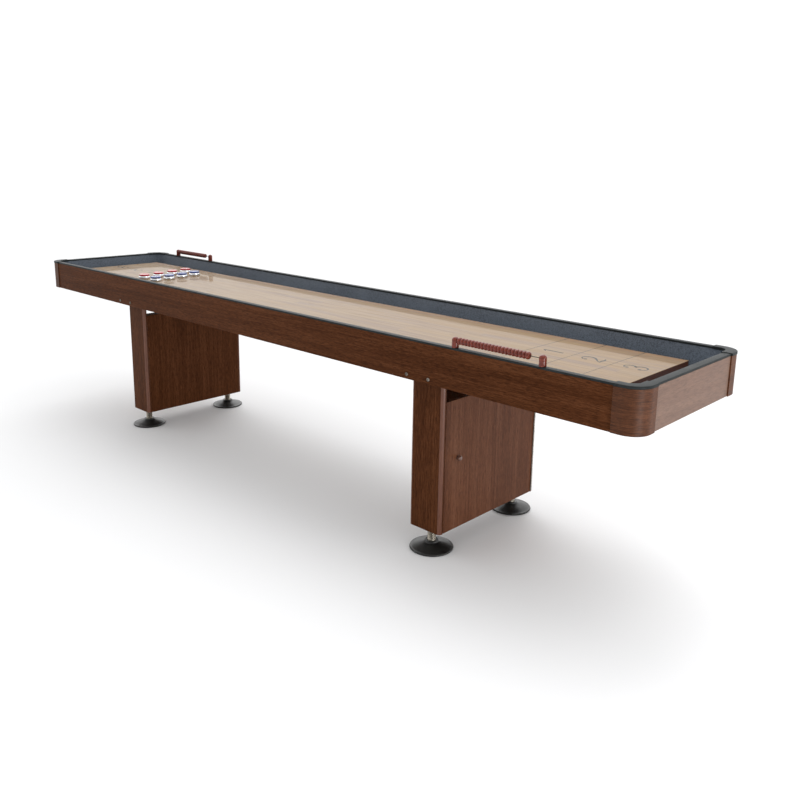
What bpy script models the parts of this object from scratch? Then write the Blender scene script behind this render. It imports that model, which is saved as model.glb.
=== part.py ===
"""Twelve-foot shuffleboard table on two storage pedestals.

Metres, +Z up. The origin is on the floor under the middle of the table and +X runs along
its length. The "near" side is the one towards -Y, and the "left" end the one towards -X.
"""

from math import cos, pi, sin

import bmesh
import bpy
from mathutils import Matrix, Vector

# ---------------------------------------------------------------- driving sizes
TABLE_LENGTH = 3.6576
TABLE_WIDTH = 0.6985
APRON_BOTTOM = 0.655
APRON_TOP = 0.7937
RAIL_TOP = 0.8006
GAP = 0.0003

BOARD = 0.018
SIDE_RAIL = 0.024
END_RAIL = 0.030
CORNER_RADIUS = 0.060
CORNER_LEG = 0.088
CORNER_PROUD = 0.004
CORNER_ARC_STEPS = 8

GUTTER_FLOOR_TOP = 0.710
GUTTER_FLOOR_THICKNESS = 0.012
PLAYFIELD_TOP = 0.757
PLAYFIELD_THICKNESS = 0.032
PLAYFIELD_LENGTH = 3.394
PLAYFIELD_WIDTH = 0.489
BASE_LENGTH = 3.20
BASE_WIDTH = 0.38

PEDESTAL_X = 1.0
PEDESTAL_DEPTH = 0.149
PEDESTAL_WIDTH = 0.588
PEDESTAL_BOTTOM = 0.084
PANEL_CORNER_RADIUS = 0.014
INNER_PANEL_TOP = 0.600
CABINET_TOP = 0.580
PANEL = 0.016
DOOR_MARGIN = 0.0018
KNOB_HEIGHT = 0.360
KNOB_FROM_MIDDLE = 0.205
HINGE_PROUD = 0.0035
HINGE_BARREL_RADIUS = 0.0028
HINGE_STEPS = 12

BRACKET_LENGTH = 0.140
BRACKET_STEEL = 0.003
BOLT_SPACING = 0.100
BOLT_HEIGHT = 0.672
BOLT_RADIUS = 0.004

LEVELLER_Y = 0.249
LEVELLER_STEM_RADIUS = 0.016
LEVELLER_PAD_RADIUS = 0.082
LEVELLER_STEM_TOP = 0.122

POST_SPACING = 0.3405
POST_RADIUS = 0.012
POST_HEIGHT = 0.0364
WIRE_HEIGHT = 0.0244
WIRE_RADIUS = 0.0015
WIRE_IN_POST = 0.008
BEAD_COUNT = 21
BEAD_PITCH = 0.0134
BEAD_RADIUS = 0.0122
BEAD_SIDES = 10
NEAR_SCORER_X = 1.3255
FAR_SCORER_X = -1.4290

PUCK_RADIUS = 0.0293
PUCK_PER_ROW = 4
RED_ROW = (Vector((-1.135, -0.160)), Vector((-0.020, 0.096)))
BLUE_ROW = (Vector((-1.020, -0.160)), Vector((-0.016, 0.088)))

# ------------------------------------------------------------------ worked out
HALF_LENGTH = TABLE_LENGTH / 2
HALF_WIDTH = TABLE_WIDTH / 2
SIDE_INNER = HALF_WIDTH - SIDE_RAIL
END_INNER = HALF_LENGTH - END_RAIL
GUTTER_FLOOR_BOTTOM = GUTTER_FLOOR_TOP - GUTTER_FLOOR_THICKNESS
PANEL_OUTER_Y = PEDESTAL_WIDTH / 2
PANEL_INNER_Y = PANEL_OUTER_Y - BOARD
FACE_X = PEDESTAL_DEPTH / 2
SIGN_NAMES = {"x": {-1: "left", 1: "right"}, "y": {-1: "near", 1: "far"}}

COLOURS = {
    "walnut": ((0.075, 0.030, 0.014), 0.45, 0.0),
    "walnut_light": ((0.16, 0.080, 0.050), 0.45, 0.0),
    "carpet": ((0.055, 0.085, 0.110), 0.95, 0.0),
    "vinyl": ((0.150, 0.180, 0.195), 0.50, 0.0),
    "maple": ((0.620, 0.420, 0.240), 0.12, 0.0),
    "plywood": ((0.300, 0.180, 0.090), 0.70, 0.0),
    "steel": ((0.550, 0.550, 0.560), 0.30, 1.0),
    "black_plastic": ((0.012, 0.012, 0.014), 0.40, 0.0),
    "mahogany": ((0.190, 0.040, 0.022), 0.18, 0.0),
    "knob_wood": ((0.130, 0.050, 0.028), 0.22, 0.0),
    "red_cap": ((0.450, 0.020, 0.030), 0.30, 0.0),
    "blue_cap": ((0.020, 0.060, 0.300), 0.30, 0.0),
}


# --------------------------------------------------------------------- helpers
def clear_scene():
    for old in list(bpy.data.objects):
        bpy.data.objects.remove(old, do_unlink=True)


def material(node_name, kind):
    """A Principled material of one kind, its own for each node."""
    colour, roughness, metallic = COLOURS[kind]
    made = bpy.data.materials.new(node_name + "_" + kind)
    made.use_nodes = True
    shader = made.node_tree.nodes["Principled BSDF"]
    shader.inputs["Base Color"].default_value = (*colour, 1.0)
    shader.inputs["Roughness"].default_value = roughness
    shader.inputs["Metallic"].default_value = metallic
    return made


def add_object(name, mesh_builder, kind, parent=None):
    """Put a bmesh into the scene as a named object with its own material."""
    bmesh.ops.recalc_face_normals(mesh_builder, faces=mesh_builder.faces)
    mesh = bpy.data.meshes.new(name)
    mesh_builder.to_mesh(mesh)
    mesh_builder.free()
    made = bpy.data.objects.new(name, mesh)
    made.data.materials.append(material(name, kind))
    bpy.context.collection.objects.link(made)
    made.parent = parent
    return made


def add_empty(name, location, turn=0.0, parent=None):
    made = bpy.data.objects.new(name, None)
    made.empty_display_size = 0.05
    made.location = location
    made.rotation_euler = (0.0, 0.0, turn)
    bpy.context.collection.objects.link(made)
    made.parent = parent
    return made


def smooth(made, angle=0.6):
    made.data.shade_smooth()
    made.data.set_sharp_from_angle(angle=angle)


def box_mesh(low, high):
    builder = bmesh.new()
    size = Vector(high) - Vector(low)
    middle = (Vector(high) + Vector(low)) / 2
    place = Matrix.Translation(middle) @ Matrix.Diagonal((*size, 1.0))
    bmesh.ops.create_cube(builder, size=1.0, matrix=place)
    return builder


def prism_mesh(outline, bottom, top):
    """Extrude a closed plan outline (a list of (x, y)) from one height to another."""
    builder = bmesh.new()
    face = builder.faces.new([builder.verts.new((x, y, bottom)) for x, y in outline])
    raised = bmesh.ops.extrude_face_region(builder, geom=[face])["geom"]
    moved = [item for item in raised if isinstance(item, bmesh.types.BMVert)]
    bmesh.ops.translate(builder, vec=(0.0, 0.0, top - bottom), verts=moved)
    return builder


def loft_mesh(sections):
    """Join equal closed sections, each a list of points, and fill both ends."""
    builder = bmesh.new()
    rings = [[builder.verts.new(point) for point in section] for section in sections]
    count = len(rings[0])
    for ring, following in zip(rings, rings[1:]):
        for index in range(count):
            after = (index + 1) % count
            builder.faces.new((ring[index], ring[after], following[after], following[index]))
    builder.faces.new(rings[0])
    builder.faces.new(rings[-1])
    return builder


def turned_mesh(profile, segments):
    """Turn (radius, height) points about Z. A radius of 0 closes the shape on the axis."""
    builder = bmesh.new()
    rings = []
    for radius, height in profile:
        if radius == 0.0:
            rings.append([builder.verts.new((0.0, 0.0, height))])
            continue
        angles = (2 * pi * step / segments for step in range(segments))
        rings.append([builder.verts.new((radius * cos(a), radius * sin(a), height)) for a in angles])
    for lower, upper in zip(rings, rings[1:]):
        for index in range(segments):
            after = (index + 1) % segments
            corners = [lower[index % len(lower)], lower[after % len(lower)],
                       upper[after % len(upper)], upper[index % len(upper)]]
            builder.faces.new(list(dict.fromkeys(corners)))
    return builder


def ring_mesh(profile, segments):
    """Turn a closed loop of (radius, height) points about Z, for a piece with a bore."""
    builder = bmesh.new()
    rings = []
    for radius, height in profile:
        angles = (2 * pi * step / segments for step in range(segments))
        rings.append([builder.verts.new((radius * cos(a), radius * sin(a), height)) for a in angles])
    for lower, upper in zip(rings, rings[1:] + rings[:1]):
        for index in range(segments):
            after = (index + 1) % segments
            builder.faces.new((lower[index], lower[after], upper[after], upper[index]))
    return builder


def tool(name, builder, parent=None):
    """A guide solid for a Boolean: shown as wire and never rendered."""
    bmesh.ops.recalc_face_normals(builder, faces=builder.faces)
    mesh = bpy.data.meshes.new(name)
    builder.to_mesh(mesh)
    builder.free()
    made = bpy.data.objects.new(name, mesh)
    made.hide_render = True
    made.display_type = "WIRE"
    bpy.context.collection.objects.link(made)
    made.parent = parent
    return made


def combine(target, other, operation):
    modifier = target.modifiers.new(operation.lower() + "_" + other.name, "BOOLEAN")
    modifier.operation = operation
    modifier.solver = "EXACT"
    modifier.object = other


def cylinder_mesh(radius, start, end, segments=12):
    """A closed cylinder between two points."""
    direction = Vector(end) - Vector(start)
    half = direction.length / 2
    builder = turned_mesh([(0.0, -half), (radius, -half), (radius, half), (0.0, half)], segments)
    turn = Vector((0.0, 0.0, 1.0)).rotation_difference(direction).to_matrix().to_4x4()
    place = Matrix.Translation((Vector(start) + Vector(end)) / 2) @ turn
    bmesh.ops.transform(builder, matrix=place, verts=builder.verts)
    return builder


def corner_curve(x_face, y_face, radius):
    """Plan curve of one corner in the +X +Y quarter: a leg, a quarter arc and a leg."""
    points = [(HALF_LENGTH - CORNER_LEG, y_face)]
    for step in range(CORNER_ARC_STEPS + 1):
        angle = pi / 2 * (1 - step / CORNER_ARC_STEPS)
        points.append((x_face - radius + radius * cos(angle), y_face - radius + radius * sin(angle)))
    points.append((x_face, HALF_WIDTH - CORNER_LEG))
    return points


def corner_sections(edges, sign_x, sign_y):
    """Sections for a piece that follows a corner; edges are (x face, y face, radius, height)."""
    curves = [(corner_curve(x_face, y_face, radius), height) for x_face, y_face, radius, height in edges]
    count = len(curves[0][0])
    return [[(sign_x * curve[step][0], sign_y * curve[step][1], height) for curve, height in curves]
            for step in range(count)]


# --------------------------------------------------------------------- cabinet
def build_aprons():
    """Four straight laminated boards; the long two are drilled for the leg bolts."""
    side_end = HALF_LENGTH - CORNER_LEG - GAP
    for sign in (-1, 1):
        name = "apron_" + SIGN_NAMES["y"][sign]
        inner, outer = sorted((sign * (HALF_WIDTH - BOARD), sign * HALF_WIDTH))
        low, high = (-side_end, inner, APRON_BOTTOM), (side_end, outer, APRON_TOP)
        board = add_object(name, box_mesh(low, high), "walnut")
        for leg in (-1, 1):
            for side in (-1, 1):
                x = leg * PEDESTAL_X + side * BOLT_SPACING / 2
                start, end = (x, inner - BOARD, BOLT_HEIGHT), (x, outer + BOARD, BOLT_HEIGHT)
                hole = cylinder_mesh(BOLT_RADIUS + GAP, start, end)
                cutter = tool("%s_hole_%s_%d" % (name, SIGN_NAMES["x"][leg], side + 1), hole)
                combine(board, cutter, "DIFFERENCE")
    end_half = HALF_WIDTH - CORNER_LEG - GAP
    for sign in (-1, 1):
        inner, outer = sorted((sign * (HALF_LENGTH - BOARD), sign * HALF_LENGTH))
        low, high = (inner, -end_half, APRON_BOTTOM), (outer, end_half, APRON_TOP)
        add_object("apron_%s_end" % SIGN_NAMES["x"][sign], box_mesh(low, high), "walnut_light")


def build_corner_blocks():
    """Curved wooden corners that stand a little proud of the aprons between them."""
    inner_x, inner_y = HALF_LENGTH - BOARD, HALF_WIDTH - BOARD
    inner_radius = CORNER_RADIUS - BOARD
    proud = CORNER_PROUD
    edges = [
        (HALF_LENGTH + proud, HALF_WIDTH + proud, CORNER_RADIUS + proud, APRON_BOTTOM),
        (HALF_LENGTH + proud, HALF_WIDTH + proud, CORNER_RADIUS + proud, APRON_TOP),
        (inner_x, inner_y, inner_radius, APRON_TOP),
        (inner_x, inner_y, inner_radius, APRON_BOTTOM),
    ]
    for sign_x in (-1, 1):
        for sign_y in (-1, 1):
            name = "corner_block_%s_%s" % (SIGN_NAMES["y"][sign_y], SIGN_NAMES["x"][sign_x])
            smooth(add_object(name, loft_mesh(corner_sections(edges, sign_x, sign_y)), "walnut"))


def liner_section(face, outer, thickness):
    """Section of a rail liner: a strip over the board's top edge and a sheet down its inside."""
    under = APRON_TOP + GAP
    back = outer - BOARD - GAP
    return [
        (outer, under),
        (outer, RAIL_TOP - 0.0020),
        (outer - 0.0015, RAIL_TOP),
        (face + thickness * 0.4, RAIL_TOP),
        (face + thickness * 0.12, RAIL_TOP - 0.0012),
        (face, RAIL_TOP - 0.0045),
        (face, GUTTER_FLOOR_TOP + GAP),
        (back, GUTTER_FLOOR_TOP + GAP),
        (back, under),
    ]


def build_rail_liners():
    """Carpet-covered strips on the straight rails, thicker at the two ends where pucks hit."""
    side_end = HALF_LENGTH - CORNER_LEG - GAP
    side = liner_section(SIDE_INNER, HALF_WIDTH, SIDE_RAIL - BOARD)
    for sign in (-1, 1):
        sections = [[(x, sign * across, height) for across, height in side] for x in (-side_end, side_end)]
        add_object("rail_liner_" + SIGN_NAMES["y"][sign], loft_mesh(sections), "carpet")
    end_half = HALF_WIDTH - CORNER_LEG - GAP
    end = liner_section(END_INNER, HALF_LENGTH, END_RAIL - BOARD)
    for sign in (-1, 1):
        sections = [[(sign * along, y, height) for along, height in end] for y in (-end_half, end_half)]
        add_object("rail_liner_%s_end" % SIGN_NAMES["x"][sign], loft_mesh(sections), "carpet")


def build_corner_caps():
    """Moulded corners: a top that overhangs the wood and a skirt down to the gutter floor."""
    top = RAIL_TOP + 0.0022
    under = APRON_TOP + GAP
    floor = GUTTER_FLOOR_TOP + GAP
    overhang = CORNER_PROUD + 0.0015
    crown = overhang - 0.0020
    lip = 0.0040
    skirt_radius = 0.034
    back_radius = CORNER_RADIUS - BOARD - GAP
    edges = [
        (HALF_LENGTH + overhang, HALF_WIDTH + overhang, CORNER_RADIUS + overhang, under),
        (HALF_LENGTH + overhang, HALF_WIDTH + overhang, CORNER_RADIUS + overhang, top - 0.002),
        (HALF_LENGTH + crown, HALF_WIDTH + crown, CORNER_RADIUS + crown, top),
        (END_INNER - lip + 0.002, SIDE_INNER - lip + 0.002, skirt_radius, top),
        (END_INNER - lip, SIDE_INNER - lip, skirt_radius, top - 0.003),
        (END_INNER - lip, SIDE_INNER - lip, skirt_radius, under),
        (END_INNER, SIDE_INNER, skirt_radius, under - 0.002),
        (END_INNER, SIDE_INNER, skirt_radius, floor),
        (HALF_LENGTH - BOARD - GAP, HALF_WIDTH - BOARD - GAP, back_radius, floor),
        (HALF_LENGTH - BOARD - GAP, HALF_WIDTH - BOARD - GAP, back_radius, under),
    ]
    for sign_x in (-1, 1):
        for sign_y in (-1, 1):
            name = "corner_cap_%s_%s" % (SIGN_NAMES["y"][sign_y], SIGN_NAMES["x"][sign_x])
            smooth(add_object(name, loft_mesh(corner_sections(edges, sign_x, sign_y)), "vinyl"))


def build_gutter_floor():
    """The cabinet's bottom board, with round corners inside the corner blocks."""
    x_face, y_face = HALF_LENGTH - BOARD - GAP, HALF_WIDTH - BOARD - GAP
    quarter = corner_curve(x_face, y_face, CORNER_RADIUS - BOARD - GAP)[1:-1]
    outline = []
    for sign_x, sign_y in ((1, 1), (1, -1), (-1, -1), (-1, 1)):
        part = [(sign_x * x, sign_y * y) for x, y in quarter]
        outline += part if sign_x * sign_y > 0 else part[::-1]
    add_object("gutter_floor", prism_mesh(outline, GUTTER_FLOOR_BOTTOM, GUTTER_FLOOR_TOP), "plywood")


def build_playfield():
    """The maple board and the plain board that lifts it off the gutter floor."""
    half_x, half_y = PLAYFIELD_LENGTH / 2, PLAYFIELD_WIDTH / 2
    bottom = PLAYFIELD_TOP - PLAYFIELD_THICKNESS
    low, high = (-half_x, -half_y, bottom), (half_x, half_y, PLAYFIELD_TOP)
    board = add_object("playfield", box_mesh(low, high), "maple")
    rounding = board.modifiers.new("eased_edges", "BEVEL")
    rounding.width = 0.0015
    rounding.segments = 2
    low = (-BASE_LENGTH / 2, -BASE_WIDTH / 2, GUTTER_FLOOR_TOP + GAP)
    high = (BASE_LENGTH / 2, BASE_WIDTH / 2, bottom - GAP)
    add_object("playfield_base", box_mesh(low, high), "plywood")


# ------------------------------------------------------------------- pedestals
def side_panel_outline(sign_y):
    """Plan of a side panel in the pedestal's own frame, its two outer corners rounded."""
    radius = PANEL_CORNER_RADIUS
    outline = [(-FACE_X, PANEL_INNER_Y)]
    for sign_x, first in ((-1, pi), (1, pi / 2)):
        for step in range(7):
            angle = first - pi / 2 * step / 6
            x = sign_x * (FACE_X - radius) + radius * cos(angle)
            outline.append((x, PANEL_OUTER_Y - radius + radius * sin(angle)))
    outline.append((FACE_X, PANEL_INNER_Y))
    return [(x, sign_y * y) for x, y in outline]


def hinge_outline(axis_y):
    """Plan of a long hinge: a leaf against the side panel and a round barrel at its front."""
    leaf_back, leaf_front = axis_y, axis_y - 0.0010
    leaf_start = FACE_X - 0.0150
    points = [(leaf_start, leaf_back), (leaf_start, leaf_front)]
    for step in range(HINGE_STEPS + 1):
        angle = -pi * 0.885 + pi * 1.885 * step / HINGE_STEPS
        x = FACE_X + HINGE_PROUD + HINGE_BARREL_RADIUS * cos(angle)
        points.append((x, axis_y + HINGE_BARREL_RADIUS * sin(angle)))
    return points


def build_knob(name, parent):
    """A mushroom knob turned about its own axis, which points out of the door."""
    profile = [(0.0, 0.0), (0.0062, 0.0), (0.0050, 0.0025), (0.0053, 0.0058), (0.0086, 0.0082),
               (0.0101, 0.0115), (0.0088, 0.0146), (0.0050, 0.0166), (0.0, 0.0172)]
    knob = add_object(name, turned_mesh(profile, 16), "knob_wood", parent)
    knob.rotation_euler = (0.0, pi / 2, 0.0)
    smooth(knob)
    return knob


def build_bracket(name, parent, sign_y):
    """A steel channel between the apron and the leg, with its two bolts fixed in it."""
    inner = PANEL_OUTER_Y + GAP
    outer = HALF_WIDTH - BOARD - GAP
    top = GUTTER_FLOOR_BOTTOM - GAP
    low = APRON_BOTTOM + 0.006
    section = [(inner, low), (inner, top), (outer, top), (outer, low), (outer - BRACKET_STEEL, low),
               (outer - BRACKET_STEEL, top - BRACKET_STEEL), (inner + BRACKET_STEEL, top - BRACKET_STEEL),
               (inner + BRACKET_STEEL, low)]
    ends = (-BRACKET_LENGTH / 2, BRACKET_LENGTH / 2)
    sections = [[(x, sign_y * across, height) for across, height in section] for x in ends]
    bracket = add_object(name, loft_mesh(sections), "steel", parent)
    head = [(0.0, -0.024), (BOLT_RADIUS, -0.024), (BOLT_RADIUS, 0.0), (0.0065, 0.0),
            (0.0062, 0.0016), (0.0042, 0.0030), (0.0, 0.0036)]
    for side in (-1, 1):
        bolt = tool("%s_bolt_%d" % (name, side + 1), turned_mesh(head, 8), parent)
        bolt.location = (side * BOLT_SPACING / 2, sign_y * (HALF_WIDTH + GAP), BOLT_HEIGHT)
        bolt.rotation_euler = (-sign_y * pi / 2, 0.0, 0.0)
        combine(bracket, bolt, "UNION")


def build_pedestal(leg):
    """One storage pedestal, modelled with its door towards its own +X and turned into place."""
    prefix = "pedestal_" + SIGN_NAMES["x"][leg]
    turn = 0.0 if leg > 0 else pi
    frame = add_empty(prefix + "_frame", (leg * PEDESTAL_X, 0.0, 0.0), turn)

    for sign_y in (-1, 1):
        place = SIGN_NAMES["y"][leg * sign_y]
        builder = prism_mesh(side_panel_outline(sign_y), PEDESTAL_BOTTOM, GUTTER_FLOOR_BOTTOM - GAP)
        smooth(add_object("%s_panel_%s" % (prefix, place), builder, "walnut", frame))
        build_bracket("%s_bracket_%s" % (prefix, place), frame, sign_y)

    inside_y = PANEL_INNER_Y - GAP
    inner_back = -FACE_X + PANEL
    low, high = (-FACE_X, -inside_y, PEDESTAL_BOTTOM), (inner_back, inside_y, INNER_PANEL_TOP)
    add_object(prefix + "_inner_panel", box_mesh(low, high), "walnut", frame)

    shelf_back, shelf_front = inner_back + GAP, FACE_X - PANEL - 0.0006
    low = (shelf_back, -inside_y, PEDESTAL_BOTTOM)
    high = (shelf_front, inside_y, PEDESTAL_BOTTOM + PANEL)
    bottom = add_object(prefix + "_bottom", box_mesh(low, high), "walnut", frame)
    for sign_y in (-1, 1):
        start = (0.0, sign_y * LEVELLER_Y, PEDESTAL_BOTTOM - PANEL)
        end = (0.0, sign_y * LEVELLER_Y, PEDESTAL_BOTTOM + 2 * PANEL)
        hole = cylinder_mesh(LEVELLER_STEM_RADIUS + 0.0006, start, end, 24)
        combine(bottom, tool("%s_stem_hole_%d" % (prefix, sign_y + 1), hole, frame), "DIFFERENCE")
    low = (shelf_back, -inside_y, CABINET_TOP - PANEL)
    high = (shelf_front, inside_y, CABINET_TOP)
    add_object(prefix + "_top", box_mesh(low, high), "walnut", frame)

    axis_y = PANEL_INNER_Y - GAP
    door_axis = add_empty(prefix + "_door_axis", (FACE_X + HINGE_PROUD, axis_y, 0.0), parent=frame)
    door_low = (-PANEL - HINGE_PROUD, -2 * axis_y + DOOR_MARGIN, PEDESTAL_BOTTOM + DOOR_MARGIN)
    door_high = (-HINGE_PROUD, -DOOR_MARGIN, CABINET_TOP)
    add_object(prefix + "_door", box_mesh(door_low, door_high), "walnut_light", door_axis)
    knob = build_knob(prefix + "_knob", door_axis)
    knob.location = (-HINGE_PROUD + GAP, -KNOB_FROM_MIDDLE - axis_y, KNOB_HEIGHT)

    hinge = prism_mesh(hinge_outline(axis_y), PEDESTAL_BOTTOM + 0.010, CABINET_TOP - 0.006)
    add_object(prefix + "_hinge", hinge, "steel", frame)


def build_levellers():
    """Screw feet: a wide domed pad on a thick threaded stem."""
    profile = [(0.0, 0.0), (LEVELLER_PAD_RADIUS - 0.002, 0.0), (LEVELLER_PAD_RADIUS, 0.0030),
               (LEVELLER_PAD_RADIUS - 0.001, 0.0070), (0.062, 0.0135), (0.036, 0.0215), (0.0245, 0.0270),
               (0.0235, 0.0310), (LEVELLER_STEM_RADIUS, 0.0318), (LEVELLER_STEM_RADIUS, LEVELLER_STEM_TOP),
               (0.0, LEVELLER_STEM_TOP)]
    for leg in (-1, 1):
        for sign_y in (-1, 1):
            name = "leveller_%s_%s" % (SIGN_NAMES["x"][leg], SIGN_NAMES["y"][sign_y])
            foot = add_object(name, turned_mesh(profile, 20), "black_plastic")
            foot.location = (leg * PEDESTAL_X, sign_y * LEVELLER_Y, 0.0)
            smooth(foot)


# --------------------------------------------------------------------- scorers
def bead_profile():
    """A string of round beads that touch, with the bore for the wire."""
    bore = WIRE_RADIUS + 0.0006
    points = [(bore, 0.0)]
    for bead in range(BEAD_COUNT):
        start = bead * BEAD_PITCH
        points.append((BEAD_RADIUS * 0.72, start))
        points.append((BEAD_RADIUS, start + BEAD_PITCH * 0.32))
        points.append((BEAD_RADIUS, start + BEAD_PITCH * 0.68))
    length = BEAD_COUNT * BEAD_PITCH
    return points + [(BEAD_RADIUS * 0.72, length), (bore, length)]


def build_scorer(sign_y, middle_x):
    """Two turned posts on the rail, a wire between them and the beads on the wire."""
    prefix = "scorer_" + SIGN_NAMES["y"][sign_y]
    y = sign_y * (HALF_WIDTH - SIDE_RAIL / 2)
    wire_z = RAIL_TOP + WIRE_HEIGHT
    dome = [(POST_RADIUS * cos(a), POST_HEIGHT - 0.010 + 0.010 * sin(a)) for a in (0.0, 0.45, 0.90, 1.25)]
    profile = [(0.0, 0.0), (POST_RADIUS, 0.0), *dome, (0.0, POST_HEIGHT)]
    for sign_x in (-1, 1):
        x = middle_x + sign_x * POST_SPACING / 2
        name = "%s_post_%s" % (prefix, SIGN_NAMES["x"][sign_x])
        post = add_object(name, turned_mesh(profile, 16), "mahogany")
        post.location = (x, y, RAIL_TOP + GAP)
        smooth(post)
        inner_end = x - sign_x * (POST_RADIUS + 0.002)
        blind_end = x - sign_x * (POST_RADIUS - WIRE_IN_POST - GAP)
        hole = cylinder_mesh(WIRE_RADIUS + GAP, (inner_end, y, wire_z), (blind_end, y, wire_z), 8)
        combine(post, tool("%s_hole_%s" % (prefix, SIGN_NAMES["x"][sign_x]), hole), "DIFFERENCE")

    reach = POST_SPACING / 2 - POST_RADIUS + WIRE_IN_POST
    wire = cylinder_mesh(WIRE_RADIUS, (middle_x - reach, y, wire_z), (middle_x + reach, y, wire_z), 8)
    smooth(add_object(prefix + "_wire", wire, "steel"))

    beads = add_object(prefix + "_beads", ring_mesh(bead_profile(), BEAD_SIDES), "mahogany")
    beads.location = (middle_x - POST_SPACING / 2 + POST_RADIUS + GAP, y, wire_z)
    beads.rotation_euler = (0.0, pi / 2, 0.0)
    smooth(beads)


# ----------------------------------------------------------------------- pucks
def build_pucks():
    """Eight weights with coloured caps, in two slanting rows of four."""
    profile = [(0.0, 0.0), (PUCK_RADIUS - 0.002, 0.0), (PUCK_RADIUS, 0.002), (PUCK_RADIUS, 0.0130),
               (PUCK_RADIUS - 0.004, 0.0155), (PUCK_RADIUS - 0.004, 0.0215), (PUCK_RADIUS - 0.0065, 0.0235),
               (0.0, 0.0235)]
    for colour, (first, step) in (("red", RED_ROW), ("blue", BLUE_ROW)):
        for index in range(PUCK_PER_ROW):
            puck = add_object("puck_%s_%d" % (colour, index + 1), turned_mesh(profile, 16), colour + "_cap")
            place = first + step * index
            puck.location = (place.x, place.y, PLAYFIELD_TOP + GAP)
            smooth(puck)


def build():
    clear_scene()
    build_aprons()
    build_corner_blocks()
    build_rail_liners()
    build_corner_caps()
    build_gutter_floor()
    build_playfield()
    for leg in (-1, 1):
        build_pedestal(leg)
    build_levellers()
    build_scorer(-1, NEAR_SCORER_X)
    build_scorer(1, FAR_SCORER_X)
    build_pucks()


build()
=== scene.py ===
"""Looks of the twelve-foot shuffleboard table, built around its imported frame.

Metres, in the frame's own axes: +X along the table, -Y the near side, +Z up.
"""
from math import cos, pi, radians, sin

import bmesh
import bpy
from mathutils import Matrix, Vector
from mathutils.geometry import interpolate_bezier


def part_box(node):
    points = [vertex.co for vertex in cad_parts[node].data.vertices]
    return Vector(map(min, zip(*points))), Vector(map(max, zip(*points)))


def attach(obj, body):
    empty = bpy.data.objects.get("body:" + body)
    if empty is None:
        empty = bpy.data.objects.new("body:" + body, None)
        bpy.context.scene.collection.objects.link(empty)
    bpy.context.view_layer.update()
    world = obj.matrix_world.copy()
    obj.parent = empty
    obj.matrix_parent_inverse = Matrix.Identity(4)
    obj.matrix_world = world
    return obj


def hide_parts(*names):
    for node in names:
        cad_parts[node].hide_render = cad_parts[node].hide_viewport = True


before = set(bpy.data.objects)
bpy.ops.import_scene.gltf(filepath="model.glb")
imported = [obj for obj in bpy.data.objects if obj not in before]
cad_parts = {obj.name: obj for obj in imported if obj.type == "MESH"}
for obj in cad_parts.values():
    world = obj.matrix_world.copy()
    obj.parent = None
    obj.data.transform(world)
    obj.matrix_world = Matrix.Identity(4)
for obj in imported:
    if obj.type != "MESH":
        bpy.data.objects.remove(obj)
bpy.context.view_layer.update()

# ---- sizes read from the frame
HALF_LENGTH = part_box("apron_right_end")[1].x
HALF_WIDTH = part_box("apron_far")[1].y
APRON_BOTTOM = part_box("apron_near")[0].z
APRON_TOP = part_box("apron_near")[1].z
BOARD = HALF_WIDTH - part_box("apron_far")[0].y
RAIL_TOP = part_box("rail_liner_near")[1].z
SIDE_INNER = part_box("rail_liner_far")[0].y
END_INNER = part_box("rail_liner_right_end")[0].x
CAP_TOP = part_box("corner_cap_near_right")[1].z
CAP_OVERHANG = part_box("corner_cap_near_right")[1].x - HALF_LENGTH
BLOCK_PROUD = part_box("corner_block_near_right")[1].x - HALF_LENGTH
STRAIGHT_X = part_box("apron_far")[1].x
STRAIGHT_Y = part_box("apron_right_end")[1].y
GUTTER_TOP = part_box("gutter_floor")[1].z
GUTTER_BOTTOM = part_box("gutter_floor")[0].z
FIELD_LOW, FIELD_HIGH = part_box("playfield")
PEDESTAL_X = (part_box("pedestal_right_panel_near")[0].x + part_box("pedestal_right_panel_near")[1].x) / 2
FACE_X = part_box("pedestal_right_panel_near")[1].x - PEDESTAL_X
PANEL_OUTER_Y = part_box("pedestal_right_panel_far")[1].y
PANEL_INNER_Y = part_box("pedestal_right_panel_far")[0].y
LEG_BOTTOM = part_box("pedestal_right_panel_far")[0].z
STEM_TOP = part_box("leveller_right_near")[1].z
FOOT_RADIUS = (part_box("leveller_right_near")[1].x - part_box("leveller_right_near")[0].x) / 2
FOOT_Y = (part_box("leveller_right_far")[0].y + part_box("leveller_right_far")[1].y) / 2

GAP = 0.0003
CORNER_RADIUS = 0.060
CORNER_LEG = HALF_LENGTH - STRAIGHT_X - GAP
ARC_STEPS = 20
NAMES_X = {-1: "left", 1: "right"}
NAMES_Y = {-1: "near", 1: "far"}
CORNERS = [(sign_x, sign_y) for sign_x in (-1, 1) for sign_y in (-1, 1)]

# ---- colours (linear) and grain sizes
STAVE_WIDTH = 0.0385
STAVE_LENGTH = 0.92
STAVE_SEAM = 0.0003
ROW_SCATTER = (12.9898, 43.7)  # shift each row's end joints by an amount of its own
MAPLE_PALE = (0.262, 0.172, 0.086)
MAPLE_WARM = (0.252, 0.154, 0.064)
MAPLE_PINK = (0.200, 0.130, 0.086)
MAPLE_GRAIN = (0.140, 0.082, 0.042)
VINYL_DARK = (0.017, 0.020, 0.021)
VINYL_LIGHT = (0.034, 0.038, 0.039)
FLOOR_SHADE = (0.832, 0.836, 0.844)
FLOOR_LIGHT = (0.838, 0.842, 0.850)

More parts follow.
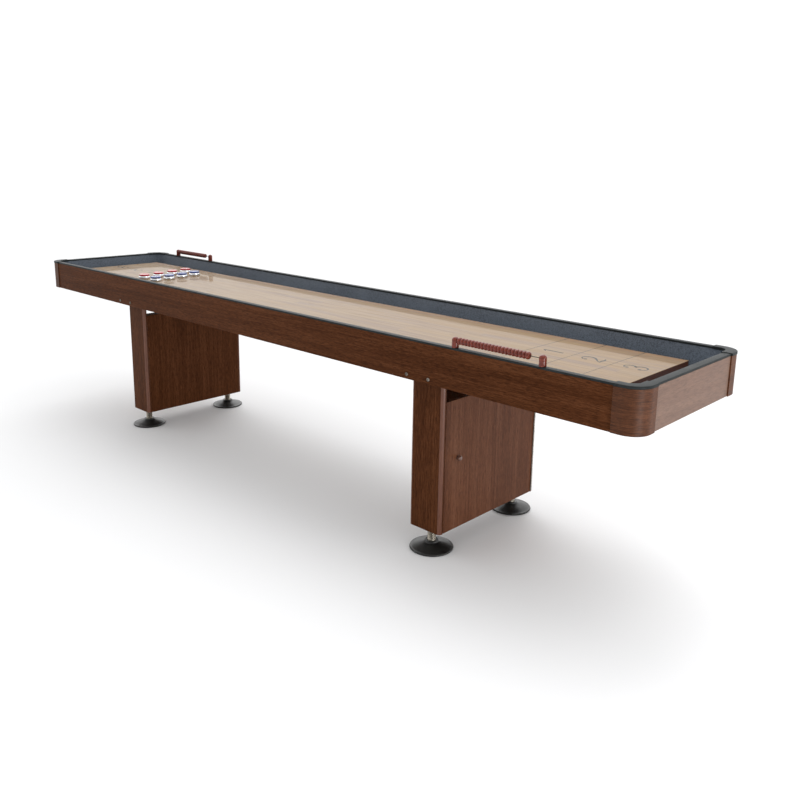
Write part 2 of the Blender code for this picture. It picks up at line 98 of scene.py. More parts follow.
# Each walnut is its dark, middle and light tone.
DARK_WALNUT = ((0.056, 0.0165, 0.0048), (0.090, 0.0290, 0.0098), (0.135, 0.0490, 0.0200))
# The door walnut is a paler, lit copy of the apron walnut: painted light where the lamps fall on the doors.
LIT_DOOR_WALNUT = ((0.078, 0.0250, 0.0100), (0.122, 0.0440, 0.0200), (0.170, 0.0690, 0.0360))
# The edge walnut is paler still: a painted highlight on the side panels' rounded upright corners.
EDGE_HIGHLIGHT_WALNUT = ((0.112, 0.0370, 0.0170), (0.160, 0.0570, 0.0300), (0.208, 0.0840, 0.0460))
# The end walnut is a paler, greyer lit copy of the apron walnut: painted light on both end aprons, as if
# from the lamp at the right end.
LIT_END_WALNUT = ((0.115, 0.0560, 0.0340), (0.155, 0.0820, 0.0530), (0.200, 0.1150, 0.0780))


# ---- material nodes
class Shade:
    """One material's node tree, with short calls for the nodes that the looks share."""

    def __init__(self, name, roughness=0.5, metallic=0.0, specular=0.5, **extra):
        self.material = bpy.data.materials.new(name)
        self.material.use_nodes = True
        self.tree = self.material.node_tree
        self.shader = self.tree.nodes["Principled BSDF"]
        self.place = self.node("ShaderNodeTexCoord").outputs["Object"]
        self.set("Roughness", roughness)
        self.set("Metallic", metallic)
        self.set("Specular IOR Level", specular)
        for key, value in extra.items():
            self.set(key.replace("_", " "), value)

    def node(self, kind, **settings):
        made = self.tree.nodes.new(kind)
        for key, value in settings.items():
            setattr(made, key, value)
        return made

    def feed(self, socket, value):
        if isinstance(value, bpy.types.NodeSocket):
            self.tree.links.new(value, socket)
        elif isinstance(value, (tuple, list)) and len(value) == 3 and len(socket.default_value) == 4:
            socket.default_value = (*value, 1.0)
        else:
            socket.default_value = value

    def set(self, name, value):
        self.feed(self.shader.inputs[name], value)

    def noise(self, scale, detail=3.0, rough=0.55, distortion=0.0, shift=(0.0, 0.0, 0.0), place=None):
        mapping = self.node("ShaderNodeMapping")
        self.feed(mapping.inputs["Vector"], place or self.place)
        self.feed(mapping.inputs["Scale"], scale)
        self.feed(mapping.inputs["Location"], shift)
        texture = self.node("ShaderNodeTexNoise")
        for name, value in (("Vector", mapping.outputs["Vector"]), ("Scale", 1.0), ("Detail", detail),
                            ("Roughness", rough), ("Distortion", distortion)):
            self.feed(texture.inputs[name], value)
        return texture.outputs["Fac"]

    def math(self, operation, first, second=0.0):
        made = self.node("ShaderNodeMath", operation=operation)
        self.feed(made.inputs[0], first)
        self.feed(made.inputs[1], second)
        return made.outputs[0]

    def remap(self, value, low, high, to_low=0.0, to_high=1.0):
        made = self.node("ShaderNodeMapRange")
        for name, item in (("Value", value), ("From Min", low), ("From Max", high),
                           ("To Min", to_low), ("To Max", to_high)):
            self.feed(made.inputs[name], item)
        return made.outputs["Result"]

    def mix(self, factor, first, second):
        made = self.node("ShaderNodeMix", data_type="RGBA")
        self.feed(made.inputs["Factor"], factor)
        self.feed(made.inputs["A"], first)
        self.feed(made.inputs["B"], second)
        return made.outputs["Result"]

    def axes(self):
        made = self.node("ShaderNodeSeparateXYZ")
        self.feed(made.inputs[0], self.place)
        return made.outputs

    def bump(self, height, distance, strength):
        made = self.node("ShaderNodeBump")
        self.feed(made.inputs["Height"], height)
        self.feed(made.inputs["Distance"], distance)
        self.feed(made.inputs["Strength"], strength)
        self.set("Normal", made.outputs["Normal"])

    def vary_roughness(self, value, low, high):
        self.set("Roughness", self.remap(value, 0.3, 0.7, low, high))


def along(grain, fine, stretched):
    """Noise scales per metre, stretched along the table, upwards, or all round the cabinet."""
    return {"x": (stretched, fine, fine), "z": (fine, fine, stretched),
            "flat": (stretched, stretched, fine)}[grain]


def walnut(name, grain, dark, mid, light, specular, roughness=0.42, contrast=1.0):
    """Printed walnut laminate: soft bands, fine streaks along the grain and short dark pores."""
    shade = Shade(name, roughness=roughness, specular=specular)
    bands = shade.noise(along(grain, 20.0, 0.8), detail=2.0, distortion=0.7)
    streaks = shade.noise(along(grain, 210.0, 6.0), detail=4.0, rough=0.70, shift=(3.1, 7.7, 1.3))
    dashes = shade.noise(along(grain, 520.0, 38.0), detail=2.0, rough=0.6, shift=(8.2, 0.4, 5.5))
    pores = shade.noise(along(grain, 1500.0, 110.0), detail=1.0, shift=(1.9, 4.2, 9.6))
    tone = shade.math("ADD", shade.math("MULTIPLY", bands, 0.35), shade.math("MULTIPLY", streaks, 0.65))
    deep = tuple(part * 0.42 for part in dark)
    colour = shade.mix(shade.remap(tone, 0.36, 0.52), dark, mid)
    colour = shade.mix(shade.remap(tone, 0.50, 0.66), colour, light)
    colour = shade.mix(shade.remap(dashes, 0.50, 0.66, 0.0, 0.70 * contrast), colour, deep)
    colour = shade.mix(shade.remap(dashes, 0.46, 0.34, 0.0, 0.40 * contrast), colour, light)
    colour = shade.mix(shade.remap(pores, 0.56, 0.66, 0.0, 0.50 * contrast), colour, deep)
    shade.set("Base Color", colour)
    shade.vary_roughness(streaks, roughness - 0.05, roughness + 0.08)
    shade.bump(pores, -0.00012, 0.5)
    return shade.material


def maple():
    """Butcher-block staves of slightly different tones under a clear gloss coat."""
    shade = Shade("maple_staves", roughness=0.45, specular=0.1, Coat_Weight=0.30, Coat_Roughness=0.05,
                  Coat_IOR=1.5)
    axis = shade.axes()
    row = shade.math("FLOOR", shade.math("DIVIDE", axis["Y"], STAVE_WIDTH))
    wave = shade.math("SINE", shade.math("MULTIPLY", row, ROW_SCATTER[0]))
    scatter = shade.math("FRACT", shade.math("MULTIPLY", wave, ROW_SCATTER[1]))
    shifted = shade.math("ADD", axis["X"], shade.math("MULTIPLY", scatter, STAVE_LENGTH))
    stave = shade.math("FLOOR", shade.math("DIVIDE", shifted, STAVE_LENGTH))
    cell = shade.node("ShaderNodeCombineXYZ")
    shade.feed(cell.inputs[0], row)
    shade.feed(cell.inputs[1], stave)
    white = shade.node("ShaderNodeTexWhiteNoise", noise_dimensions="3D")
    shade.feed(white.inputs["Vector"], cell.outputs[0])
    tone = white.outputs["Value"]
    offset = shade.node("ShaderNodeVectorMath", operation="ADD")
    shade.feed(offset.inputs[0], shade.place)
    shade.feed(offset.inputs[1], white.outputs["Color"])
    grain = shade.noise((4.0, 160.0, 160.0), detail=4.0, rough=0.6, place=offset.outputs[0])
    fibre = shade.noise((30.0, 1300.0, 1300.0), detail=2.0, place=offset.outputs[0])
    cloud = shade.noise((1.3, 9.0, 9.0), detail=3.0, distortion=0.8, place=offset.outputs[0])
    colour = shade.mix(tone, MAPLE_PALE, MAPLE_WARM)
    colour = shade.mix(shade.remap(cloud, 0.45, 0.68, 0.0, 0.80), colour, MAPLE_PINK)
    colour = shade.mix(shade.remap(grain, 0.50, 0.72, 0.0, 0.50), colour, MAPLE_GRAIN)
    colour = shade.mix(shade.remap(fibre, 0.50, 0.75, 0.0, 0.25), colour, MAPLE_GRAIN)
    across = shade.math("PINGPONG", axis["Y"], STAVE_WIDTH / 2)
    seam = shade.math("LESS_THAN", across, STAVE_SEAM)
    colour = shade.mix(shade.math("MULTIPLY", seam, 0.35), colour, MAPLE_GRAIN)
    shade.set("Base Color", colour)
    shade.vary_roughness(grain, 0.38, 0.52)
    shade.bump(grain, 0.00004, 0.3)
    return shade.material


def lacquered(name, dark, light, coat, roughness=0.40, fine=220.0):
    """Stained wood under clear lacquer, with its grain along the table."""
    shade = Shade(name, roughness=roughness, specular=0.3, Coat_Weight=coat, Coat_Roughness=0.04)
    streaks = shade.noise(along("x", fine, fine / 28), detail=4.0, rough=0.6)
    fibre = shade.noise(along("x", fine * 6, fine / 4), detail=2.0, shift=(2.0, 5.0, 1.0))
    colour = shade.mix(shade.remap(streaks, 0.34, 0.66), dark, light)
    colour = shade.mix(shade.remap(fibre, 0.55, 0.75, 0.0, 0.45), colour, tuple(c * 0.5 for c in dark))
    shade.set("Base Color", colour)
    shade.vary_roughness(streaks, roughness - 0.06, roughness + 0.08)
    shade.bump(fibre, 0.00005, 0.4)
    return shade.material


def carpet(name, dark, light):
    """Short looped carpet: speckled fibres, soft unevenness and a little sheen."""
    shade = Shade(name, roughness=0.95, specular=0.1, Sheen_Weight=0.25, Sheen_Roughness=0.5)
    fibres = shade.noise((620.0,) * 3, detail=3.0, rough=0.7)
    tufts = shade.noise((210.0,) * 3, detail=2.0, rough=0.6, shift=(4.0, 2.0, 7.0))
    wear = shade.noise((5.0, 5.0, 9.0), detail=3.0, shift=(1.0, 9.0, 3.0))
    colour = shade.mix(shade.remap(fibres, 0.32, 0.68), dark, light)
    colour = shade.mix(shade.remap(tufts, 0.45, 0.70, 0.0, 0.55), colour, tuple(c * 0.55 for c in dark))
    colour = shade.mix(shade.remap(wear, 0.40, 0.75, 0.0, 0.30), colour, light)
    shade.set("Base Color", colour)
    shade.vary_roughness(fibres, 0.88, 1.0)
    shade.bump(shade.math("ADD", fibres, shade.math("MULTIPLY", tufts, 0.8)), 0.0009, 0.8)
    return shade.material


def vinyl():
    """Satin moulded vinyl with a fine leather-like grain and faint scuffs."""
    shade = Shade("vinyl_trim", roughness=0.36, specular=0.045)
    grain = shade.noise((1400.0,) * 3, detail=2.0)
    scuffs = shade.noise((14.0, 14.0, 40.0), detail=4.0, rough=0.65, shift=(2.0, 3.0, 4.0))
    colour = shade.mix(shade.remap(scuffs, 0.35, 0.70), VINYL_DARK, VINYL_LIGHT)
    shade.set("Base Color", colour)
    shade.vary_roughness(scuffs, 0.30, 0.46)
    shade.bump(grain, 0.00008, 0.5)
    return shade.material


def moulded(name, dark, light, roughness, coat=0.0):
    """Moulded plastic with a fine texture and slight unevenness."""
    shade = Shade(name, roughness=roughness, specular=0.5, Coat_Weight=coat, Coat_Roughness=0.05)
    fine = shade.noise((900.0,) * 3, detail=2.0)
    broad = shade.noise((30.0,) * 3, detail=3.0, shift=(3.0, 1.0, 6.0))
    shade.set("Base Color", shade.mix(shade.remap(broad, 0.35, 0.65), dark, light))
    shade.vary_roughness(broad, roughness - 0.05, roughness + 0.08)
    shade.bump(fine, 0.00006, 0.4)
    return shade.material


def plated(name, dark, light, roughness):
    """Plated steel with fine polishing marks and faint tarnish."""
    shade = Shade(name, roughness=roughness, metallic=1.0)
    marks = shade.noise((90.0, 90.0, 1800.0), detail=3.0)
    cloud = shade.noise((45.0,) * 3, detail=3.0, shift=(5.0, 2.0, 8.0))
    shade.set("Base Color", shade.mix(shade.remap(cloud, 0.35, 0.70), light, dark))
    shade.vary_roughness(marks, roughness * 0.7, roughness * 1.6)
    shade.bump(marks, 0.00002, 0.25)
    return shade.material


def fibreboard():
    """Raw board: pressed fibres, with a dull brown face."""
    shade = Shade("fibreboard", roughness=0.75, specular=0.2)
    flakes = shade.noise((180.0,) * 3, detail=4.0, rough=0.7)
    broad = shade.noise((6.0,) * 3, detail=3.0, shift=(3.0, 8.0, 2.0))
    colour = shade.mix(shade.remap(flakes, 0.35, 0.65), (0.090, 0.050, 0.026), (0.170, 0.105, 0.060))
    colour = shade.mix(shade.remap(broad, 0.40, 0.70, 0.0, 0.4), colour, (0.120, 0.080, 0.052))
    shade.set("Base Color", colour)
    shade.bump(flakes, 0.0002, 0.5)
    return shade.material


def ink(name, dark, light):
    """Screen-printed lines and figures under a gloss like the playfield's."""
    shade = Shade(name, roughness=0.5, specular=0.1, Coat_Weight=0.36, Coat_Roughness=0.05)
    worn = shade.noise((90.0, 260.0, 90.0), detail=4.0, rough=0.7)
    shade.set("Base Color", shade.mix(shade.remap(worn, 0.40, 0.65), dark, light))
    shade.bump(worn, 0.00003, 0.3)
    return shade.material


def studio_floor():
    """Pale seamless paper with a barely visible mottling."""
    shade = Shade("studio_paper", roughness=0.95, specular=0.0)
    mottle = shade.noise((2.0,) * 3, detail=3.0)
    shade.set("Base Color", shade.mix(mottle, FLOOR_SHADE, FLOOR_LIGHT))
    return shade.material


MATERIALS = {
    "walnut_x": walnut("walnut_apron", "flat", *DARK_WALNUT, specular=0.03),
    # Painted light: the end aprons get a paler, lit copy of the walnut.
    "walnut_end": walnut("walnut_lit_end_apron", "flat", *LIT_END_WALNUT, specular=0.36, contrast=0.7),
    "walnut_corner": walnut("walnut_corner", "flat", *DARK_WALNUT, specular=0.17, roughness=0.44),
    # Painted light: the doors get a paler, lit copy of the walnut.
    "walnut_door": walnut("walnut_door", "z", *LIT_DOOR_WALNUT, specular=0.08, contrast=0.8),
    "walnut_panel": walnut("walnut_panel", "z", *DARK_WALNUT, specular=0.03, roughness=0.36),
    # Painted highlight: the panels' rounded corners get a paler walnut.
    "walnut_edge_highlight": walnut("walnut_edge_highlight", "z", *EDGE_HIGHLIGHT_WALNUT, specular=0.40, roughness=0.30, contrast=0.5),
    "maple": maple(),
    "edge_strip": lacquered("golden_edge_strip", (0.165, 0.082, 0.026), (0.245, 0.128, 0.044), coat=0.25),
    "stained_side": lacquered("stained_field_side", (0.075, 0.018, 0.005), (0.130, 0.035, 0.010), coat=0.1),
    "carpet": carpet("rail_carpet", (0.070, 0.085, 0.106), (0.255, 0.295, 0.350)),
    "vinyl": vinyl(),
    "fibreboard": fibreboard(),
    "chrome": plated("chromed_steel", (0.30, 0.27, 0.22), (0.46, 0.42, 0.36), 0.22),
    "bolt": plated("dulled_bolt", (0.13, 0.11, 0.09), (0.26, 0.23, 0.20), 0.32),
    "rod": plated("scorer_rod", (0.045, 0.040, 0.035), (0.110, 0.100, 0.088), 0.34),
    "nickel": plated("nickel_plate", (0.40, 0.38, 0.34), (0.62, 0.60, 0.56), 0.30),
    "puck_chrome": plated("polished_chrome", (0.80, 0.81, 0.84), (0.93, 0.94, 0.96), 0.06),
    "foot": moulded("black_plastic", (0.005,) * 3, (0.011, 0.011, 0.010), 0.36),
    "mahogany": lacquered("mahogany_lacquer", (0.095, 0.012, 0.006), (0.215, 0.036, 0.018), coat=0.18,
                          roughness=0.32, fine=300.0),
    "knob": lacquered("knob_wood", (0.060, 0.018, 0.009), (0.130, 0.045, 0.022), coat=1.0, fine=400.0),
    "red_cap": moulded("red_cap_plastic", (0.400, 0.010, 0.020), (0.500, 0.020, 0.035), 0.22, coat=0.5),
    "blue_cap": moulded("blue_cap_plastic", (0.010, 0.035, 0.200), (0.016, 0.060, 0.300), 0.22, coat=0.5),
    "ink": ink("score_ink", (0.008, 0.009, 0.008), (0.034, 0.032, 0.026)),
    "line_ink": ink("line_ink", (0.045, 0.034, 0.024), (0.105, 0.080, 0.054)),
}


# ---- mesh helpers
def link(name, data):
    """Put a new object with some data in the scene."""
    made = bpy.data.objects.new(name, data)
    bpy.context.scene.collection.objects.link(made)
    return made


def piece(name, builder, look, body, node, crisp=35, flat_faces=False):
    """Turn a bmesh into a finished piece: shading, materials, body and stood-for node."""
    bmesh.ops.recalc_face_normals(builder, faces=builder.faces)
    mesh = bpy.data.meshes.new(name)
    builder.to_mesh(mesh)
    builder.free()
    made = link(name, mesh)
    for key in ([look] if isinstance(look, str) else look):
        mesh.materials.append(MATERIALS[key])
    mesh.shade_smooth()
    mesh.set_sharp_from_angle(angle=radians(crisp))
    if flat_faces:
        weighted = made.modifiers.new("flat_face_normals", "WEIGHTED_NORMAL")
        weighted.keep_sharp = True
    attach(made, body)
    if node:
        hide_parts(node)


def ease(builder, width, segments=3, angle=50):
    """Round every edge that is sharper than an angle."""
    sharp = [edge for edge in builder.edges
             if len(edge.link_faces) == 2 and edge.calc_face_angle(0.0) > radians(angle)]
    bmesh.ops.bevel(builder, geom=sharp, offset=width, segments=segments, profile=0.5,
                    affect="EDGES", clamp_overlap=True)


def box(low, high, easing=0.001):
    """A box between two corners with eased edges."""
    builder = bmesh.new()
    size = Vector(high) - Vector(low)
    place = Matrix.Translation((Vector(high) + Vector(low)) / 2) @ Matrix.Diagonal((*size, 1.0))
    bmesh.ops.create_cube(builder, size=1.0, matrix=place)
    bmesh.ops.recalc_face_normals(builder, faces=builder.faces)
    ease(builder, easing)
    return builder


def loft(sections):
    """Join equal closed sections, each a list of points, and fill both ends."""
    builder = bmesh.new()
    rings = [[builder.verts.new(point) for point in section] for section in sections]
    for ring, following in zip(rings, rings[1:]):
        for index in range(len(ring)):
            after = (index + 1) % len(ring)
            builder.faces.new((ring[index], ring[after], following[after], following[index]))
    builder.faces.new(rings[0])
    builder.faces.new(rings[-1])
    bmesh.ops.recalc_face_normals(builder, faces=builder.faces)
    return builder


def prism(outline, bottom, top):
    """A plan outline carried straight up between two heights."""
    return loft([[(x, y, height) for x, y in outline] for height in (bottom, top)])


def turned(profile, segments=48, close=False):
    """Turn (radius, height) points about Z; a radius of 0 closes the shape on its axis."""
    builder = bmesh.new()
    rings = []
    for radius, height in profile:
        if radius == 0.0:
            rings.append([builder.verts.new((0.0, 0.0, height))])
            continue
        turns = (2 * pi * step / segments for step in range(segments))
        rings.append([builder.verts.new((radius * cos(a), radius * sin(a), height)) for a in turns])
    for lower, upper in zip(rings, rings[1:] + (rings[:1] if close else [])):
        for index in range(segments):
            after = (index + 1) % segments
            corners = [lower[index % len(lower)], lower[after % len(lower)],
                       upper[after % len(upper)], upper[index % len(upper)]]
            builder.faces.new(list(dict.fromkeys(corners)))
    return builder


def put(builder, location, towards=(0.0, 0.0, 1.0)):
    """Move a shape turned about Z to a place, its +Z pointed towards a direction."""
    turn = Vector((0.0, 0.0, 1.0)).rotation_difference(Vector(towards)).to_matrix().to_4x4()
    bmesh.ops.transform(builder, matrix=Matrix.Translation(location) @ turn, verts=builder.verts)
    return builder


def merge(*builders):
    """One bmesh that holds several closed shapes."""
    whole = bmesh.new()
    for builder in builders:
        scratch = bpy.data.meshes.new("scratch")
        bmesh.ops.recalc_face_normals(builder, faces=builder.faces)
        builder.to_mesh(scratch)
        builder.free()
        whole.from_mesh(scratch)
        bpy.data.meshes.remove(scratch)
    return whole


def space(node):
    """The low corner, the high corner and the middle of a node of the frame."""
    low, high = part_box(node)
    return low, high, (low + high) / 2


def arc(middle, radius, start, end, steps):
    """Points along a circular arc, angles in degrees."""
    angles = (radians(start + (end - start) * step / steps) for step in range(steps + 1))
    return [(middle[0] + radius * cos(a), middle[1] + radius * sin(a)) for a in angles]


def corner_curve(x_face, y_face, radius):
    """Plan curve of one corner in the +X +Y quarter: a straight leg, a quarter arc, a leg."""
    turn = arc((x_face - radius, y_face - radius), radius, 90, 0, ARC_STEPS)
    return [(HALF_LENGTH - CORNER_LEG, y_face), *turn, (x_face, HALF_WIDTH - CORNER_LEG)]


def corner_loft(edges, sign_x, sign_y):
    """A piece that follows a corner.

    Its edges are (distance back from the end, back from the side, radius, height).
    """
    curves = [(corner_curve(HALF_LENGTH - back_x, HALF_WIDTH - back_y, radius), height)
              for back_x, back_y, radius, height in edges]
    return loft([[(sign_x * curve[step][0], sign_y * curve[step][1], height) for curve, height in curves]
                 for step in range(len(curves[0][0]))])


# ---- cabinet
END_EASING = 0.0026
BLOCK_EASING = 0.0014


def build_aprons():
    """The four straight laminated boards; the ends' edges are eased more, and the ends get a paler, lit
    copy of the walnut as painted light.
    """
    for node in ("apron_near", "apron_far"):
        piece(node + "_board", box(*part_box(node)), "walnut_x", "table", node,
              flat_faces=True)
    for node in ("apron_left_end", "apron_right_end"):
        piece(node + "_board", box(*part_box(node), easing=END_EASING), "walnut_end", "table", node,
              flat_faces=True)


def build_corner_blocks():
    """A bent block at each corner, slightly proud of the aprons."""
    outer_radius, inner_radius = CORNER_RADIUS + BLOCK_PROUD, CORNER_RADIUS - BOARD
    edges = [(-BLOCK_PROUD, -BLOCK_PROUD, outer_radius, APRON_BOTTOM),
             (-BLOCK_PROUD, -BLOCK_PROUD, outer_radius, APRON_TOP),
             (BOARD, BOARD, inner_radius, APRON_TOP), (BOARD, BOARD, inner_radius, APRON_BOTTOM)]
    for sign_x, sign_y in CORNERS:
        node = "corner_block_%s_%s" % (NAMES_Y[sign_y], NAMES_X[sign_x])
        builder = corner_loft(edges, sign_x, sign_y)
        ease(builder, BLOCK_EASING)
        piece(node + "_wood", builder, "walnut_corner", "table", node,
              flat_faces=True)


TRIM_UNDER = APRON_TOP + GAP
TRIM_LIP = 0.0026
TRIM_SOFT = 0.0022
TRIM_CROWN = 0.0003
LIP_BOTTOM = RAIL_TOP - 0.0075
CARPET_SET_BACK = 0.0010
CARPET_CROWN = 0.0012
CARPET_PILE = 0.0025
SIDE_WIDTH = HALF_WIDTH - SIDE_INNER
END_WIDTH = HALF_LENGTH - END_INNER
CAP_LIP = 0.0040
SKIRT_RADIUS = 0.034

# A rail's section is a list of (share of the rail's width, distance inwards, height): its outer
# side is at share 0 and its inner face at share 1, whatever the width.


def trim_section(top, overhang=0.0, lip=0.0):
    """The vinyl trim: an outer edge, a slightly crowned top and a lip down the inner face."""
    shoulder = top - TRIM_SOFT
    outside = [(0.0, a, z) for a, z in arc((TRIM_SOFT - overhang, shoulder), TRIM_SOFT, 180, 90, 5)]
    crown = [(share, 0.0, top + TRIM_CROWN * sin(pi * share)) for share in (0.3, 0.5, 0.7)]
    inside = [(1.0, a, z) for a, z in arc((lip - TRIM_SOFT, shoulder), TRIM_SOFT, 90, 0, 5)]
    return [(0.0, -overhang, TRIM_UNDER), *outside, *crown, *inside, (1.0, lip, LIP_BOTTOM + 0.0006),
            (1.0, lip - 0.0008, LIP_BOTTOM), (1.0, -TRIM_LIP, LIP_BOTTOM), (1.0, -TRIM_LIP, TRIM_UNDER)]


def carpet_section():
    """The carpet on its backing, from under the trim's lip to the gutter floor."""
    top, bottom = LIP_BOTTOM - GAP, GUTTER_TOP + GAP
    shares = [step / 8 for step in range(9)]
    face = [(1.0, CARPET_CROWN * sin(pi * share) - CARPET_SET_BACK, top + (bottom - top) * share)
            for share in shares]
    return [(0.0, BOARD + GAP, top), *face, (0.0, BOARD + GAP, bottom)]


def build_rails():
    """A vinyl trim and a carpeted face on each straight rail."""
    for sign in (-1, 1):
        side_rail = (NAMES_Y[sign], SIDE_WIDTH, STRAIGHT_X, HALF_WIDTH)
        end_rail = (NAMES_X[sign] + "_end", END_WIDTH, STRAIGHT_Y, HALF_LENGTH)
        for place, width, half, outer in (side_rail, end_rail):
            for kind, section, steps, slot in (("vinyl", trim_section(RAIL_TOP - GAP), 2, "corner_vinyl"),
                                               ("carpet", carpet_section(), 40, "rail_carpet")):
                sections = []
                for step in range(steps + 1):
                    station = half * (2 * step / steps - 1)
                    spots = [(station, sign * (outer - share * width - inward), height)
                             for share, inward, height in section]
                    if outer == HALF_LENGTH:
                        spots = [(across, distance, height) for distance, across, height in spots]
                    sections.append(spots)
                piece("rail_%s_%s" % (kind, place), loft(sections), kind, "table",
                      "rail_liner_" + place, crisp=50)


def build_corner_caps():
    """A proud moulded cap on each corner, with a carpeted skirt below it."""
    moulding = trim_section(CAP_TOP - GAP, CAP_OVERHANG, CAP_LIP)
    for sign_x, sign_y in CORNERS:
        place = "%s_%s" % (NAMES_Y[sign_y], NAMES_X[sign_x])
        for kind, section, slot in (("vinyl", moulding, "corner_vinyl"),
                                    ("carpet", carpet_section(), "rail_carpet")):
            edges = [(share * END_WIDTH + inward, share * SIDE_WIDTH + inward,
                      CORNER_RADIUS * (1 - share) + SKIRT_RADIUS * share - inward, height)
                     for share, inward, height in section]
            piece("corner_%s_%s" % (kind, place), corner_loft(edges, sign_x, sign_y), kind, "table",
                  "corner_cap_" + place, crisp=50)


def build_gutter():
    """The cabinet's bottom board and the carpet that lines its gutters."""
    back = BOARD + GAP
    quarter = corner_curve(HALF_LENGTH - back, HALF_WIDTH - back, CORNER_RADIUS - back)[1:-1]
    outline = []
    for sign_x, sign_y in ((1, 1), (1, -1), (-1, -1), (-1, 1)):
        part = [(sign_x * x, sign_y * y) for x, y in quarter]
        outline += part if sign_x * sign_y > 0 else part[::-1]
    pile = GUTTER_TOP - CARPET_PILE
    board = prism(outline, GUTTER_BOTTOM, pile - GAP)
    ease(board, 0.0005, 2)
    piece("cabinet_bottom", board, "fibreboard", "table", "gutter_floor", flat_faces=True)
    sheet = prism(outline, pile, GUTTER_TOP)
    ease(sheet, 0.0006, 2)
    piece("gutter_carpet", sheet, "carpet", "table", "gutter_floor", flat_faces=True)


# ---- playfield
EDGE_STRIP = 0.033
ZONE_PITCH = 0.156
ZONE_COUNT = 3
ZONE_SHIFT = 0.0010
LINE_WIDTH = 0.0026
TICK_WIDTH = LINE_WIDTH * 1.3
TICK_MARGIN = 0.002
PRINT_LIFT = 0.00003
PRINT_HEIGHT = 0.00012
NUMERAL_HEIGHT = 0.080
NUMERAL_SHIFT = 0.020
STROKE_SCALE = NUMERAL_HEIGHT * 1.75
BALL_SCALE = STROKE_SCALE * 0.75


def build_playfield():
    """The butcher block: pale staves, a golden strip along each side, stained edges."""
    builder = box(FIELD_LOW, FIELD_HIGH, easing=0.0015)
    top = [face for face in builder.faces if face.normal.z > 0.99]
    for sign in (-1, 1):
        geometry = top + [edge for face in top for edge in face.edges]
        geometry += [corner for face in top for corner in face.verts]
        plane_y = sign * (FIELD_HIGH.y - EDGE_STRIP)
        bmesh.ops.bisect_plane(builder, geom=list(dict.fromkeys(geometry)), plane_co=(0.0, plane_y, 0.0),
                               plane_no=(0.0, 1.0, 0.0))
        top = [face for face in builder.faces if face.normal.z > 0.99]
    for face in builder.faces:
        middle = face.calc_center_median()
        if face.normal.z < 0.3:
            face.material_index = 2
        elif abs(middle.y) > FIELD_HIGH.y - EDGE_STRIP:
            face.material_index = 1
    piece("playfield_block", builder, ("maple", "edge_strip", "stained_side"), "table", "playfield",
          flat_faces=True)


def flat_strip(points, widths):
    """A thin printed stroke along points in the plane, with its own width at each."""
    low = FIELD_HIGH.z + PRINT_LIFT
    high = low + PRINT_HEIGHT
    sections = []
    for index, point in enumerate(points):
        before = points[max(index - 1, 0)]
        after = points[min(index + 1, len(points) - 1)]
        direction = (Vector(after) - Vector(before)).normalized()
        side = Vector((-direction.y, direction.x)) * widths[index] / 2
        left, right = Vector(point) + side, Vector(point) - side
        sections.append([(*left, low), (*left, high), (*right, high), (*right, low)])
    return loft(sections)


def flat_disc(middle, radius):
    """A printed dot, a hair thicker than the strokes that it ends."""
    points = arc(middle, radius, 0, 360, 20)[:-1]
    low = FIELD_HIGH.z + PRINT_LIFT
    return prism(points, low, low + PRINT_HEIGHT * 1.1)


def swelling(count, thin, thick):
    """Stroke widths that swell from thin at the ends to thick in the middle."""
    return [thin + (thick - thin) * sin(pi * step / (count - 1)) ** 1.5 for step in range(count)]


def bezier(start, first, second, end, steps=16):
    """Points along a curve in the plane."""
    knots = [Vector((*point, 0.0)) for point in (start, first, second, end)]
    return [(spot.x, spot.y) for spot in interpolate_bezier(*knots, steps)]


def numeral_strokes(figure):
    """Strokes of 1, 2 or 3 in a box one unit high: (points, thin, thick), and the ball ends."""
    if figure == 1:
        return [([(0.0, 0.0), (0.0, 0.5), (0.0, 1.0)], 0.055, 0.06),
                (bezier((-0.20, 0.80), (-0.12, 0.84), (-0.04, 0.92), (0.0, 1.0), 8), 0.02, 0.035)], []
    if figure == 2:
        head = arc((0.0, 0.72), 0.27, 170, -20, 16)
        tail = bezier((0.254, 0.628), (0.20, 0.40), (-0.22, 0.24), (-0.30, 0.02))
        foot = bezier((-0.30, 0.02), (-0.12, 0.12), (0.14, -0.07), (0.31, 0.10))
        return [(head + tail[1:], 0.022, 0.060), (foot, 0.03, 0.062)], [((-0.205, 0.745), 0.062)]
    upper = arc((-0.01, 0.76), 0.235, 165, -62, 18)
    lower = arc((0.0, 0.27), 0.275, 70, -168, 20)
    joint = bezier(upper[-1], (0.04, 0.53), (0.02, 0.535), lower[0], 6)
    balls = [((-0.185, 0.800), 0.058), ((-0.215, 0.225), 0.060)]
    return [(upper + joint[1:-1] + lower, 0.024, 0.062)], balls


